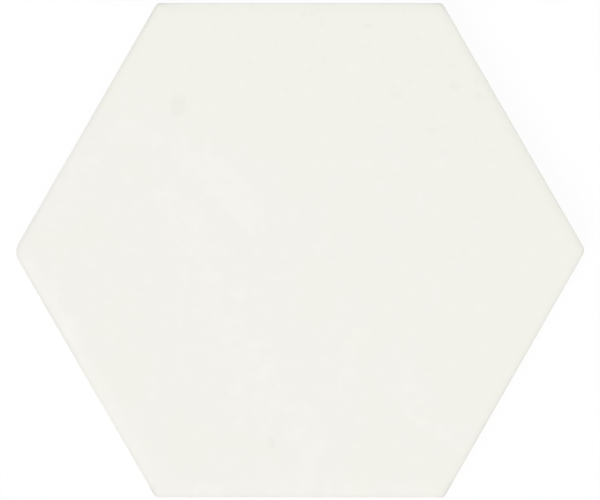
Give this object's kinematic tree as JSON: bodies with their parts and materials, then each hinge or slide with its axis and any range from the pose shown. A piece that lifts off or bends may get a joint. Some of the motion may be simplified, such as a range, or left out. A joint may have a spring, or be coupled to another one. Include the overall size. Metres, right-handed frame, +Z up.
{
  "type": "hexagon floor tile",
  "caption": "Flat hexagonal floor tile with a softly rolled-down margin, upright sides for the grout and a ribbed back for the adhesive.",
  "frame": {"origin": "middle of the back, in the plane of the rib crests that the tile rests on", "axes": "+Z up out of the glazed face, +X from the middle to a corner, +Y from the middle to a side"},
  "size_m": [0.2012, 0.175, 0.009],
  "materials": {
    "glazed_tile": "matte"
  },
  "bodies": {
    "root": {"hexagon_tile": "glazed_tile"}
  },
  "joints": []
}
